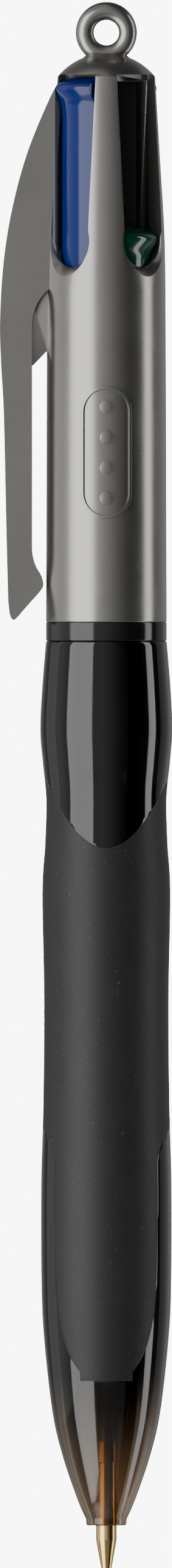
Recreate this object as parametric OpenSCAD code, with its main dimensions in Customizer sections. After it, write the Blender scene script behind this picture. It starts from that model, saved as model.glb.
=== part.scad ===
// Four-colour click pen: four sliding colour buttons round one barrel, a lanyard ring on top,
// a moulded clip, a screw-on lower barrel with a rubber grip, and four refills with springs.
// Frame: Z along the pen, +Z to the ring; the ring's centre is the origin; the clip is at -X.
// Shown with the green refill pushed out and latched, the other three drawn back.

/* [Barrel] */
// widest radius of the upper barrel, at the joint collar
barrel_r = 5.78; // [5.2:0.02:6.5]
// radius of the domed top
dome_r = 6.0; // [5.4:0.1:7]
// height where the dome turns into the slotted shell
shoulder_z = -4.2; // [-5:0.1:-3.5]
// height of the black collar's top edge
collar_top = -56.3; // [-60:0.1:-50]
// height of the joint between collar and lower barrel
joint_z = -58.1; // [-62:0.1:-57]
// height of the nose's end
nose_z = -142.6; // [-150:0.1:-130]
// radius of the hole in the nose
nose_hole_r = 1.35; // [1.2:0.05:1.6]

/* [Ring] */
// outer radius of the lanyard ring
ring_r = 2.94; // [2.4:0.02:3.4]
// radius of the ring's hole
ring_bore_r = 1.2; // [0.8:0.05:1.6]
// radius of the ring's round section
ring_section = 0.92; // [0.6:0.02:1.2]

/* [Buttons] */
// half width of the slots the buttons run in
slot_half = 2.5; // [2.2:0.05:2.6]
// flat top of the slots
slot_top = -4.0; // [-4.2:0.05:-3.8]
// centre height of the slots' round lower end
slot_low = -19.9; // [-22:0.1:-17]
// clearance each side of a button
button_gap = 0.25; // [0.1:0.05:0.4]
// distance from the pen's axis to the centre that a button's face is rounded about
face_centre = 0.2; // [0:0.1:1.5]
// inner face of a button's plate
plate_in = 2.6; // [2.4:0.05:2.9]
// travel of a button, drawn back to latched
stroke = 14.4; // [12:0.1:15]
// radius of the button's plate
plate_r = 4.4; // [4:0.05:4.5]
// radius of the thumb end
thumb_r = 5.15; // [4.8:0.05:5.4]

/* [Refills] */
// distance of the refills from the pen's axis
refill_off = 2.35; // [2.2:0.05:2.6]
// outer radius of the refill tube
tube_r = 1.1; // [1:0.05:1.2]
// bore radius of the refill tube
tube_bore = 0.8; // [0.7:0.05:0.9]
// radius of the brass tip's body
brass_r = 1.0; // [0.8:0.05:1.1]
// radius of the writing ball
ball_r = 0.5; // [0.35:0.05:0.6]
// top of a drawn-back refill tube
tube_top = -27.3; // [-29:0.1:-26]
// bottom of a drawn-back refill tube
tube_end = -120.0; // [-124:0.1:-110]
// top of the ink in a drawn-back tube
ink_top = -48; // [-100:1:-35]

/* [Springs] */
// radius of the spring wire
wire_r = 0.15; // [0.1:0.01:0.2]
// mean radius of the spring's coils
coil_r = 1.4; // [1.3:0.05:1.6]
// number of turns
coils = 12; // [8:1:16]
// height of the plate the springs stand on
seat_z = -50; // [-52:0.5:-46]

/* [Grip] */
// thickness of the rubber
rubber_t = 0.9; // [0.6:0.05:1.2]
// running gap between the rubber and its seat
rubber_fit = 0.02; // [0.01:0.01:0.05]

/* [Clip] */
// half width of the clip
clip_half = 1.6; // [1.2:0.1:2.2]
// half thickness of the web between clip and barrel
web_half = 0.9; // [0.6:0.1:1.1]
// height where the flexing arm begins
clip_root = -31.5; // [-33:0.1:-29]

/* [Hidden] */
$fn = 64;

// directions of the four buttons, turned from +X
turn_blue = 225;
turn_green = 315;
turn_black = 135;
turn_red = 45;

pewter = [0.55, 0.55, 0.53];
jet = [0.05, 0.05, 0.05];
smoke = [0.12, 0.12, 0.14];
brass = [0.85, 0.72, 0.40];
steel = [0.72, 0.73, 0.75];

// ---- curves ------------------------------------------------------------------------------
// smooth curve through the given points, with n steps between neighbours
function bow(a, b, c, d, t) = 0.5 * (2 * b + (c - a) * t + (2 * a - 5 * b + 4 * c - d) * t * t
                                     + (3 * b - a - 3 * c + d) * t * t * t);
function smooth(p, n) =
  concat([for (i = [0:len(p) - 2]) for (k = [0:n - 1])
          bow(p[max(0, i - 1)], p[i], p[i + 1], p[min(len(p) - 1, i + 2)], k / n)],
         [p[len(p) - 1]]);

// ---- shells ------------------------------------------------------------------------------
// outside of the upper barrel as [radius, height], dome first
upper_out = [[4.68, shoulder_z], [5.18, -12.5], [5.64, -21.0], [5.7, -30.0],
             [barrel_r, collar_top + 0.2], [barrel_r - 0.12, collar_top + 0.04]];

// dome corner points, stepping round the sphere
dome_c = shoulder_z - sqrt(dome_r * dome_r - 4.68 * 4.68);
dome_pts = [for (i = [0:8]) let (a = 90 - i * (90 - acos(4.68 / dome_r)) / 8)
            [dome_r * cos(a), dome_c + dome_r * sin(a)]];

module upper_shell() {
  rotate_extrude()
    polygon(concat([[0, dome_c + dome_r]], [for (i = [1:8]) dome_pts[i]],
                   [for (i = [1:5]) upper_out[i]],
                   [[4.45, collar_top + 0.04], [4.45, -55.0], [4.62, -54.6], [4.62, -21.0], [4.1, -20.0],
                    [4.0, -5.6], [3.6, ceiling], [0, ceiling]]));
}

// underside of the dome
ceiling = -4.65;

// one slot, cut radially outwards; its floor end is round and its edge is scooped
module slot_cut(turn) {
  rotate([0, 0, turn]) {
    translate([2.0, -slot_half, slot_low])
      cube([6, 2 * slot_half, ceiling - slot_low]);
    translate([3.0, -slot_half, slot_low])
      cube([5, 2 * slot_half, slot_top - slot_low]);
    translate([2.0, 0, slot_low])
      rotate([0, 90, 0])
        cylinder(r = slot_half, h = 6);
    translate([4.75, 0, slot_low])
      rotate([0, 90, 0])
        cylinder(r1 = slot_half, r2 = slot_half + 1.25, h = 1.25);
  }
}

// guide ribs standing inside the shell behind each pillar
module pillar_ribs() {
  for (a = [0, 90, 180, 270])
    rotate([0, 0, a])
      union() {
        translate([2.95, -0.42, -21.0])
          cube([1.5, 0.84, 16.2]);
        translate([2.95, -0.42, -24.0])
          cube([1.85, 0.84, 3.6]);
      }
}

module ring() {
  difference() {
    rotate([90, 0, 0])
      rotate_extrude()
        translate([ring_r - ring_section, 0])
          circle(r = ring_section, $fn = 48);
    rotate([90, 0, 0])
      cylinder(r = ring_bore_r, h = 3, center = true);
  }
  // neck under the ring
  translate([0, 0, -2.6])
    cylinder(r1 = 2.35, r2 = 2.0, h = 0.75);
}

// side outline of the clip, outer edge down and inner edge back up
fin_outer = smooth([[-4.3, -4.3], [-5.41, -6.2], [-7.56, -11.4], [-9.01, -16.7], [-9.85, -21.9],
                    [-10.2, -27.5], [-10.1, clip_root]], 3);
arm_outer = smooth([[-10.1, clip_root - 0.02], [-9.83, -36.5], [-9.6, -46.9], [-9.42, -54.2],
                    [-8.9, -56.15]], 3);

module side_plate(points, half) {
  rotate([90, 0, 0])
    translate([0, 0, -half])
      linear_extrude(height = 2 * half)
        polygon(points);
}

module fin() {
  // full-width shoulder of the clip
  side_plate(concat(fin_outer, [[-7.09, clip_root], [-7.09, -28.0],
                                [-6.85, -26.4], [-6.3, -25.2], [-5.3, -24.4], [-4.7, -22.0],
                                [-4.6, -12.0], [-3.9, -5.4]]), clip_half);
  // thin web running down between arm and barrel
  side_plate([[-7.3, -24.5], [-7.3, clip_root], [-7.0, clip_root], [-5.7, -30.4],
              [-5.2, -30.3], [-4.8, -24.0]], web_half);
}

module upper_barrel() {
  color(pewter)
    difference() {
      union() {
        difference() {
          upper_shell();
          for (a = [turn_blue, turn_green, turn_black, turn_red])
            slot_cut(a);
        }
        pillar_ribs();
        ring();
        difference() {
          fin();
          // the bore stays clear behind the clip
          translate([0, 0, -33])
            cylinder(r = 4.1, h = 30);
          // and so do the two slots beside it
          for (a = [turn_blue, turn_black])
            slot_cut(a);
        }
        badge();
      }
      // thread of a lanyard passes through the ring
      rotate([90, 0, 0])
        cylinder(r = ring_bore_r, h = 5, center = true);
    }
}

// plain raised outline with four dots, one for each colour
badge_z = -40.1;
badge_rise = 0.2;
module badge() {
  intersection() {
    difference() {
      cylinder(r = barrel_r + badge_rise, h = 200, center = true);
      cylinder(r = 5.3, h = 202, center = true);
    }
    union() {
      difference() {
        stadium(2.45, 6.3);
        stadium(2.2, 6.05);
      }
      for (i = [-1.5:1:1.5])
        translate([0, -4, badge_z + i * 2.9])
          rotate([90, 0, 0])
            cylinder(r = 0.62, h = 3);
    }
  }
}

module stadium(w, h) {
  translate([0, -4, badge_z])
    rotate([90, 0, 0])
      linear_extrude(height = 3)
        union() {
          square([2 * w, 2 * (h - w)], center = true);
          translate([0, h - w])
            circle(r = w);
          translate([0, w - h])
            circle(r = w);
        }
}

module clip_arm() {
  color(pewter)
    side_plate(concat([[-7.09, clip_root - 0.02]], arm_outer,
                      [[-8.6, -56.0], [-6.5, -53.6], [-6.12, -53.1], [-6.0, -52.7],
                       [-6.12, -52.2], [-6.7, -51.0], [-7.09, -50.3]]), clip_half);
}

// ---- inside ------------------------------------------------------------------------------
module latch_core() {
  color(jet) {
    difference() {
      translate([0, 0, -22.8])
        cylinder(r = 1.15, h = 18.16);
      translate([0, 0, -23])
        cylinder(r = 0.5, h = 12);
    }
    for (a = [0, 90, 180, 270])
      rotate([0, 0, a])
        translate([0.9, -0.4, -22.8])
          cube([1.95, 0.8, 18.1]);
    // ledge the latched button's tooth hooks under
    translate([0, 0, -17.0])
      cylinder(r1 = 2.0, r2 = 1.5, h = 1.0);
  }
}

module collar_connector() {
  color(jet)
    difference() {
      rotate_extrude()
        polygon([[0, seat_z], [4.56, seat_z], [4.56, -54], [4.36, -54.5], [4.36, collar_top],
                 [barrel_r - 0.12, collar_top], [barrel_r, collar_top - 0.14],
                 [barrel_r, joint_z + 0.14], [barrel_r - 0.14, joint_z],
                 [4.6, joint_z], [4.6, -59.0], [4.9, -59.2], [4.9, -65.2], [4.65, -66],
                 [4.05, -66], [4.05, -54], [0, -54]]);
      // one guide hole for each refill
      for (a = [turn_blue, turn_green, turn_black, turn_red])
        rotate([0, 0, a])
          translate([refill_off, 0, -55])
            cylinder(r = 1.28, h = 6);
      translate([0, 0, -55])
        cylinder(r = 0.7, h = 6);
      // thread grooves
      for (i = [0:3])
        translate([0, 0, -60.6 - i * 1.2])
          rotate_extrude()
            translate([4.95, 0])
              circle(r = 0.3, $fn = 24);
    }
}

// outside of the lower barrel as [radius, height]
low_out = concat([[5.66, joint_z - 0.03]],
  smooth([[5.8, joint_z - 0.17], [6.15, -62.5], [6.34, -66.6], [6.08, -69.9], [5.76, -73.2],
          [5.86, -77.4], [6.13, -82.2], [5.96, -92.5], [6.05, -102.7], [6.25, -110], [6.22, -119.5],
          [5.96, -124.9], [5.17, -131.8], [4.19, -136], [2.79, -140.1], [1.9, -142.2]], 3),
  [[1.6, nose_z]]);
low_in = [[nose_hole_r, nose_z], [nose_hole_r, -141.9], [1.75, -140.8], [2.55, -138.7],
          [3.45, -135.3], [4.0, -131.8], [4.2, -128.3], [4.2, -67.2], [5.0, -66.5],
          [5.0, -59.0], [4.7, joint_z - 0.03]];

module low_body() {
  rotate_extrude()
    polygon(concat(low_out, low_in));
}

// solid that the rubber is made from, slightly thicker where it is recessed
grip_out = [for (p = low_out) if (p[1] < -70 && p[1] > -130.5) p];
module grip_band(grow) {
  rotate_extrude()
    polygon(concat([for (p = grip_out) [p[0] + (grow > 0 ? 0.4 : 0), p[1]]],
                   [for (i = [len(grip_out) - 1:-1:0])
                    [grip_out[i][0] - rubber_t - grow, grip_out[i][1]]]));
}

// region of the grip: curved top edge, rounded side windows left free at the foot
module grip_region(grow) {
  difference() {
    translate([0, 0, -128.8 - grow])
      cylinder(r = 9, h = 58.8 + grow);
    // the top edge sweeps up to the two sides
    for (s = [0, 180])
      rotate([0, 0, s])
        translate([0, 0, 0])
          rotate([90, 0, 0])
            linear_extrude(height = 9)
              polygon(concat([[-9, -60], [-9, top_edge(6.4) + grow]],
                             [for (i = [-8:8]) [i * 0.8, top_edge(abs(i * 0.8)) + grow]],
                             [[9, top_edge(6.4) + grow], [9, -60]]));
    for (s = [90, 270])
      rotate([0, 0, s])
        rotate([90, 0, 0])
          linear_extrude(height = 9)
            window(3.85 - grow);
  }
}

function top_edge(x) = -77.85 + 6.65 * min(1, x * x / 35);

module window(w) {
  translate([0, -113.2])
    union() {
      translate([0, 4.8])
        circle(r = w, $fn = 72);
      polygon([[-w, 4.8], [w, 4.8], [w + 0.25, -8.7], [w + 0.7, -13.0], [w + 1.6, -16.5],
               [-w - 1.6, -16.5], [-w - 0.7, -13.0], [-w - 0.25, -8.7]]);
    }
}

module lower_barrel() {
  color(smoke)
    difference() {
      low_body();
      intersection() {
        grip_band(rubber_fit);
        grip_region(rubber_fit);
      }
    }
}

module rubber_grip() {
  color([0.16, 0.16, 0.16])
    intersection() {
      grip_band(0);
      grip_region(0);
    }
}

// ---- buttons -----------------------------------------------------------------------------
plate_half = slot_half - button_gap;
flank_in = plate_in - 0.85;
face_r = plate_r - face_centre;
// drawn back position; the latched one is the same thing lower down
module slider(turn, drop, tint) {
  color(tint)
    translate([0, 0, -drop])
      rotate([0, 0, turn]) {
        intersection() {
          // rounded face, flared out at the thumb end
          translate([face_centre, 0, 0])
            rotate_extrude()
              polygon([[0, -23.5], [face_r, -23.5], [face_r, -8.4], [face_r + 0.04, -7.6],
                       [face_r + 0.1, -6.95], [face_r + 0.2, -6.6], [face_r + 0.48, -6.05],
                       [face_r + 0.66, -5.65], [thumb_r - face_centre, -5.3],
                       [thumb_r - face_centre - 0.15, -4.93], [4.3, -4.6], [3.5, -4.3],
                       [2.7, -4.13], [0, -4.1]]);
          // flanks stay clear of the slot's sides and of the ribs behind the pillars
          union() {
            translate([0, 0, -24])
              linear_extrude(height = 24 + ceiling - 0.1)
                polygon([[plate_in, -flank_in], [plate_in + plate_half - flank_in, -plate_half],
                         [7, -plate_half], [7, plate_half],
                         [plate_in + plate_half - flank_in, plate_half], [plate_in, flank_in]]);
            translate([3.12, -plate_half + 0.12, -6])
              cube([4, 2 * plate_half - 0.24, 2]);
          }
        }
        // tooth that hooks under the ledge
        translate([2.15, -0.9, -5.8])
          cube([0.9, 1.8, 1.0]);
        // foot and the stem the refill is pressed on
        intersection() {
          translate([0, 0, -26.4])
            cylinder(r = 4.0, h = 3.0);
          translate([1.4, -1.35, -27])
            cube([4, 2.7, 4]);
        }
        translate([refill_off, 0, -31.5])
          cylinder(r = 0.74, h = 5.3);
      }
}

module slider_blue() { slider(turn_blue, 0, [0.02, 0.06, 0.42]); }
module slider_green() { slider(turn_green, stroke, [0.02, 0.24, 0.14]); }
module slider_black() { slider(turn_black, 0, [0.04, 0.04, 0.04]); }
module slider_red() { slider(turn_red, 0, [0.62, 0.03, 0.04]); }

// ---- refills -----------------------------------------------------------------------------
// straight ones
module tube(turn) {
  rotate([0, 0, turn])
    translate([refill_off, 0, tube_end])
      difference() {
        cylinder(r = tube_r, h = tube_top - tube_end);
        translate([0, 0, -1])
          cylinder(r = tube_bore, h = tube_top - tube_end + 2);
      }
}

module ink(turn, tint) {
  color(tint)
    rotate([0, 0, turn])
      translate([refill_off, 0, tube_end + 2.9])
        cylinder(r = tube_bore - 0.02, h = ink_top - tube_end - 2.9);
}

// the pushed one bends smoothly from its button to the hole in the nose
bend_top = -60;
bend_end = -130;
function ease(z) = let (t = max(0, min(1, (z - bend_top) / (bend_end - bend_top))))
                   t * t * (3 - 2 * t);
function shift(z) = refill_off * (1 - ease(z));
bent_levels = concat([tube_top - stroke], [bend_top],
                     [for (i = [1:14]) bend_top + i * (bend_end - bend_top) / 14],
                     [tube_end - stroke]);
sides = 20;

// points of one ring round the bent line
function hoop(r, z) = [for (k = [0:sides - 1])
                       [shift(z) + r * cos(k * 360 / sides), r * sin(k * 360 / sides), z]];

module bent_rod(levels, r) {
  n = len(levels);
  pts = [for (z = levels) each hoop(r, z)];
  walls = [for (j = [0:n - 2]) for (k = [0:sides - 1])
           [j * sides + k, j * sides + (k + 1) % sides,
            (j + 1) * sides + (k + 1) % sides, (j + 1) * sides + k]];
  top = [[for (k = [sides - 1:-1:0]) k]];
  bottom = [[for (k = [0:sides - 1]) (n - 1) * sides + k]];
  polyhedron(points = pts, faces = concat(walls, top, bottom), convexity = 4);
}

module bent_pipe(levels, ro, ri) {
  n = len(levels);
  pts = concat([for (z = levels) each hoop(ro, z)], [for (z = levels) each hoop(ri, z)]);
  m = n * sides;
  outer = [for (j = [0:n - 2]) for (k = [0:sides - 1])
           [j * sides + k, j * sides + (k + 1) % sides,
            (j + 1) * sides + (k + 1) % sides, (j + 1) * sides + k]];
  inner = [for (j = [0:n - 2]) for (k = [0:sides - 1])
           [m + j * sides + k, m + (j + 1) * sides + k,
            m + (j + 1) * sides + (k + 1) % sides, m + j * sides + (k + 1) % sides]];
  top = [for (k = [0:sides - 1]) [k, m + k, m + (k + 1) % sides, (k + 1) % sides]];
  e = (n - 1) * sides;
  bottom = [for (k = [0:sides - 1])
            [e + k, e + (k + 1) % sides, m + e + (k + 1) % sides, m + e + k]];
  polyhedron(points = pts, faces = concat(outer, inner, top, bottom), convexity = 6);
}

clear_plastic = [0.86, 0.88, 0.88];
module refill_tube_blue() { color(clear_plastic) tube(turn_blue); }
module refill_tube_black() { color(clear_plastic) tube(turn_black); }
module refill_tube_red() { color(clear_plastic) tube(turn_red); }
module refill_tube_green() {
  color(clear_plastic)
    rotate([0, 0, turn_green])
      bent_pipe(bent_levels, tube_r, tube_bore);
}

module ink_blue() { ink(turn_blue, [0.02, 0.06, 0.5]); }
module ink_black() { ink(turn_black, [0.02, 0.02, 0.03]); }
module ink_red() { ink(turn_red, [0.6, 0.02, 0.03]); }
module ink_green() {
  color([0.01, 0.3, 0.16])
    rotate([0, 0, turn_green])
      bent_rod([for (z = bent_levels) if (z < ink_top - stroke && z > tube_end - stroke) z],
               tube_bore - 0.03);
}

// brass writing tip; its top end is pressed into the tube
module brass_tip(turn, off, drop) {
  color(brass)
    rotate([0, 0, turn])
      translate([off, 0, -drop]) {
        difference() {
          rotate_extrude()
            polygon([[0, -132.72], [0.33, -132.72], [0.47, -132.55], [0.56, -132.35],
                     [brass_r, -129.5], [brass_r, -122.2], [brass_r + 0.1, -122.0],
                     [brass_r + 0.1, tube_end - 0.02], [0.78, tube_end - 0.02],
                     [0.78, tube_end + 2.6], [0, tube_end + 2.6]]);
          // seat of the ball and the ink channel above it
          translate([0, 0, -132.3])
            sphere(r = ball_r + 0.0);
          translate([0, 0, -132.5])
            cylinder(r = 0.25, h = 16);
        }
      }
}

module ball(turn, off, drop) {
  color(steel)
    rotate([0, 0, turn])
      translate([off, 0, -132.3 - drop])
        sphere(r = ball_r - 0.02);
}

module brass_tip_blue() { brass_tip(turn_blue, refill_off, 0); }
module brass_tip_green() { brass_tip(turn_green, 0, stroke); }
module brass_tip_black() { brass_tip(turn_black, refill_off, 0); }
module brass_tip_red() { brass_tip(turn_red, refill_off, 0); }
module ball_blue() { ball(turn_blue, refill_off, 0); }
module ball_green() { ball(turn_green, 0, stroke); }
module ball_black() { ball(turn_black, refill_off, 0); }
module ball_red() { ball(turn_red, refill_off, 0); }

// ---- springs -----------------------------------------------------------------------------
// wire running up a helix, closed by two flat ends
wire_sides = 6;
module coil(turn, top) {
  low = seat_z + wire_r + 0.02;
  high = top - wire_r - 0.02;
  steps = coils * 14;
  pts = [for (i = [0:steps]) let (a = i * 360 / 14, z = low + (high - low) * i / steps)
         for (k = [0:wire_sides - 1]) let (b = k * 360 / wire_sides)
         [(coil_r + wire_r * cos(b)) * cos(a), (coil_r + wire_r * cos(b)) * sin(a),
          z + wire_r * sin(b)]];
  walls = [for (i = [0:steps - 1]) for (k = [0:wire_sides - 1])
           [i * wire_sides + k, (i + 1) * wire_sides + k,
            (i + 1) * wire_sides + (k + 1) % wire_sides, i * wire_sides + (k + 1) % wire_sides]];
  first = [[for (k = [0:wire_sides - 1]) k]];
  last = [[for (k = [wire_sides - 1:-1:0]) steps * wire_sides + k]];
  color(steel)
    rotate([0, 0, turn])
      translate([refill_off, 0, 0])
        polyhedron(points = pts, faces = concat(walls, first, last), convexity = 10);
}

module spring_blue() { coil(turn_blue, -26.4); }
module spring_green() { coil(turn_green, -26.4 - stroke); }
module spring_black() { coil(turn_black, -26.4); }
module spring_red() { coil(turn_red, -26.4); }

upper_barrel();
clip_arm();
latch_core();
collar_connector();
lower_barrel();
rubber_grip();
slider_blue();
slider_green();
slider_black();
slider_red();
refill_tube_blue();
refill_tube_green();
refill_tube_black();
refill_tube_red();
ink_blue();
ink_green();
ink_black();
ink_red();
brass_tip_blue();
brass_tip_green();
brass_tip_black();
brass_tip_red();
ball_blue();
ball_green();
ball_black();
ball_red();
spring_blue();
spring_green();
spring_black();
spring_red();
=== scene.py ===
"""Looks of a four-colour click pen with a lanyard ring, a clip and a rubber grip.

Each sub-assembly is a class that holds its sizes in millimetres and builds its own pieces; each
finish is a frozen dataclass that makes one material. The pen's axis is Z, the centre of the
lanyard ring is the origin, the clip stands at -X and the open side of the ring faces -Y.
"""

import logging
import math
from dataclasses import dataclass, field
from enum import Enum
from typing import Callable, Iterable, Sequence

import bmesh
import bpy
from mathutils import Matrix, Vector


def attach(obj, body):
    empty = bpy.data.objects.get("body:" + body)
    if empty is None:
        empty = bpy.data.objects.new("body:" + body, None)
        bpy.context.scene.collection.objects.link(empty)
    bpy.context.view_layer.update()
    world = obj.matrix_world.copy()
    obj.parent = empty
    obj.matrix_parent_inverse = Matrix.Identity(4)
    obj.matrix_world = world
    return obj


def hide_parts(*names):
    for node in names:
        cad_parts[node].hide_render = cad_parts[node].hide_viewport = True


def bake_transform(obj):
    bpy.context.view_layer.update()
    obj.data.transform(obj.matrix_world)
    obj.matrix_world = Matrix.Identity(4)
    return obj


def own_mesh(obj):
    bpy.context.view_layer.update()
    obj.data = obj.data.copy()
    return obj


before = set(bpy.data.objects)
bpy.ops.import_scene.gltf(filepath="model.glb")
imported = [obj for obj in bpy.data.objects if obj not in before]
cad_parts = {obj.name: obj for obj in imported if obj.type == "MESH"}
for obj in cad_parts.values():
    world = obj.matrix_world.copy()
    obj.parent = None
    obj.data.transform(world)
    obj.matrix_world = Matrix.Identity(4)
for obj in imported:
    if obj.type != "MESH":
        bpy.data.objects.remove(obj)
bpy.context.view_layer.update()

MM = 0.001

FRONT_JOINT = -56.3
REAR_JOINT = -58.1
JOINT_RADIUS = 5.78
LIP = 0.09

Point = tuple[float, float]
Points = list[Point]
Node = bpy.types.Node
Socket = bpy.types.NodeSocket

log = logging.getLogger("click_pen")


class Colour(Enum):
    """The four refill colours and the direction of each button, in degrees from +X."""

    BLUE = 225.0
    GREEN = 315.0
    BLACK = 135.0
    RED = 45.0

    @property
    def tag(self) -> str:
        """Name of the colour as the frame's nodes and bodies spell it."""
        return self.name.lower()

    @property
    def turn(self) -> Matrix:
        """Rotation that carries +X to this button's side."""
        return Matrix.Rotation(math.radians(self.value), 4, "Z")

    @property
    def pressed(self) -> bool:
        """True for the one refill that is out at rest."""
        return self is Colour.GREEN

    @property
    def travel_joint(self) -> str:
        """Name of the joint that moves this colour's button."""
        return self.tag + ("_release" if self.pressed else "_press")


class Cut(Enum):
    """Ways to combine two solids."""

    REMOVE = "DIFFERENCE"
    JOIN = "UNION"
    KEEP = "INTERSECT"


# ---- curves ------------------------------------------------------------------------------


def smooth(knots: Sequence[Point], steps: int) -> Points:
    """Runs a smooth curve through points.

    Args:
        knots: points that the curve passes, in order.
        steps: pieces between two neighbouring knots.

    Returns:
        The curve's points, the last knot among them.
    """
    last = len(knots) - 1
    out: Points = []
    for i in range(last):
        a, b, c, d = knots[max(0, i - 1)], knots[i], knots[i + 1], knots[min(last, i + 2)]
        for k in range(steps):
            t = k / steps
            out.append(tuple(
                0.5 * (2 * b[n] + (c[n] - a[n]) * t
                       + (2 * a[n] - 5 * b[n] + 4 * c[n] - d[n]) * t * t
                       + (3 * b[n] - a[n] - 3 * c[n] + d[n]) * t ** 3)
                for n in (0, 1)))
    return out + [tuple(knots[last])]


def arc(centre: Point, radius: float, start: float, end: float, steps: int) -> Points:
    """Points of a circular arc.

    Args:
        centre: the arc's centre.
        radius: its radius.
        start: first angle in degrees.
        end: last angle in degrees.
        steps: pieces that the arc is cut into.

    Returns:
        steps + 1 points from start to end.
    """
    angles = [math.radians(start + (end - start) * i / steps) for i in range(steps + 1)]
    return [(centre[0] + radius * math.cos(a), centre[1] + radius * math.sin(a)) for a in angles]


def circle(centre: Point, radius: float, count: int = 48) -> Points:
    """Closed circle of count points."""
    return arc(centre, radius, 0, 360 - 360 / count, count - 1)


def rounded(corners: Sequence[tuple[float, float, float]], steps: int = 5) -> Points:
    """Closed outline with rounded corners.

    Args:
        corners: x, y and rounding radius of each corner.
        steps: pieces in each rounding.

    Returns:
        The outline's points in the corners' order.
    """
    out: Points = []
    count = len(corners)
    for i, (x, y, r) in enumerate(corners):
        here = Vector((x, y))
        before = Vector(corners[i - 1][:2]) - here
        after = Vector(corners[(i + 1) % count][:2]) - here
        if r <= 0:
            out.append((x, y))
            continue
        half = before.angle(after) / 2
        reach = min(r / math.tan(half), before.length * 0.49, after.length * 0.49)
        first = here + before.normalized() * reach
        last = here + after.normalized() * reach
        for k in range(steps + 1):
            t = k / steps
            p = first * (1 - t) ** 2 + here * 2 * t * (1 - t) + last * t * t
            out.append((p.x, p.y))
    return out


def ease(t: float) -> float:
    """Smooth step from 0 to 1."""
    t = min(1.0, max(0.0, t))
    return t * t * (3 - 2 * t)


# ---- meshes ------------------------------------------------------------------------------


def add_object(name: str, data: bpy.types.ID) -> bpy.types.Object:
    """Adds an object with this data to the scene.

    Args:
        name: the object's name.
        data: its mesh, light or camera.

    Returns:
        The new object.
    """
    made = bpy.data.objects.new(name, data)
    bpy.context.scene.collection.objects.link(made)
    return made


def to_mesh(bm: bmesh.types.BMesh, name: str) -> bpy.types.Mesh:
    """Stores a bmesh as a mesh and frees it.

    Args:
        bm: the bmesh; it is freed.
        name: the mesh's name.

    Returns:
        The new mesh.
    """
    mesh = bpy.data.meshes.new(name)
    bm.to_mesh(mesh)
    bm.free()
    return mesh


def solid(bm: bmesh.types.BMesh, name: str) -> bpy.types.Object:
    """Turns a bmesh in millimetres into an object with outward faces.

    Args:
        bm: the mesh; it is freed.
        name: the object's name.

    Returns:
        The new object, linked to the scene.
    """
    bmesh.ops.remove_doubles(bm, verts=bm.verts, dist=1e-5)
    bmesh.ops.recalc_face_normals(bm, faces=bm.faces)
    return add_object(name, to_mesh(bm, name))


def lathe(outline: Sequence[Point], segments: int, name: str) -> bpy.types.Object:
    """Turns an outline of (radius, height) round Z.

    Args:
        outline: points in order; a closed loop, or a line that starts and ends on the axis.
        segments: pieces round the axis.
        name: the object's name.

    Returns:
        A closed solid.
    """
    bm = bmesh.new()
    rings: list[list[bmesh.types.BMVert]] = []
    for r, z in outline:
        if r < 1e-6:
            rings.append([bm.verts.new((0, 0, z))])
            continue
        rings.append([bm.verts.new((r * math.cos(a), r * math.sin(a), z))
                      for a in (2 * math.pi * k / segments for k in range(segments))])
    closed = len(rings[0]) > 1
    for i in range(len(rings) if closed else len(rings) - 1):
        one, two = rings[i], rings[(i + 1) % len(rings)]
        for k in range(segments):
            n = (k + 1) % segments
            corners = [one[k % len(one)], one[n % len(one)], two[n % len(two)], two[k % len(two)]]
            corners = list(dict.fromkeys(corners))
            if len(corners) > 2:
                bm.faces.new(corners)
    return solid(bm, name)


def slab(outline: Sequence[Point], place: Callable[[float, float, float], Vector], low: float,
         high: float, name: str) -> bpy.types.Object:
    """Extrudes a flat outline.

    Args:
        outline: closed outline in its own plane.
        place: gives the point in space for (u, v, depth).
        low: depth of one face.
        high: depth of the other.
        name: the object's name.

    Returns:
        A closed solid.
    """
    bm = bmesh.new()
    ends = [[bm.verts.new(place(u, v, d)) for u, v in outline] for d in (low, high)]
    count = len(outline)
    for k in range(count):
        n = (k + 1) % count
        bm.faces.new([ends[0][k], ends[0][n], ends[1][n], ends[1][k]])
    for end in ends:
        bm.faces.new(end)
    return solid(bm, name)


def loft(sections: Sequence[Sequence[Vector]], name: str, closed: bool = False) -> bpy.types.Object:
    """Joins sections that have the same number of points.

    Args:
        sections: rings of points, in order.
        name: the object's name.
        closed: joins the last ring to the first in place of closing both ends.

    Returns:
        A closed solid.
    """
    bm = bmesh.new()
    rings = [[bm.verts.new(p) for p in section] for section in sections]
    count = len(rings[0])
    for i in range(len(rings) if closed else len(rings) - 1):
        one, two = rings[i], rings[(i + 1) % len(rings)]
        for k in range(count):
            n = (k + 1) % count
            bm.faces.new([one[k], one[n], two[n], two[k]])
    if not closed:
        bm.faces.new(rings[0])
        bm.faces.new(rings[-1])
    return solid(bm, name)


def upright(x: float, z: float, y: float) -> Vector:
    """Places an outline drawn in X and Z at depth y."""
    return Vector((x, y, z))


def level(x: float, y: float, z: float) -> Vector:
    """Places an outline drawn in X and Y at height z."""
    return Vector((x, y, z))


def bake(piece: bpy.types.Object) -> None:
    """Applies all modifiers of a piece to its mesh.

    Args:
        piece: the piece.
    """
    graph = bpy.context.evaluated_depsgraph_get()
    mesh = bpy.data.meshes.new_from_object(piece.evaluated_get(graph))
    piece.modifiers.clear()
    old = piece.data
    piece.data = mesh
    if isinstance(old, bpy.types.Mesh):
        bpy.data.meshes.remove(old)


def combine(piece: bpy.types.Object, tools: Iterable[bpy.types.Object], how: Cut) -> None:
    """Cuts, joins or keeps solids.

    Args:
        piece: the solid that is changed.
        tools: the solids used; they are removed afterwards.
        how: what is done with them.
    """
    tools = list(tools)
    for tool in tools:
        step = piece.modifiers.new(how.name, "BOOLEAN")
        step.operation = how.value
        step.solver = "EXACT"
        step.object = tool
    bake(piece)
    for tool in tools:
        bpy.data.objects.remove(tool)


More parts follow.
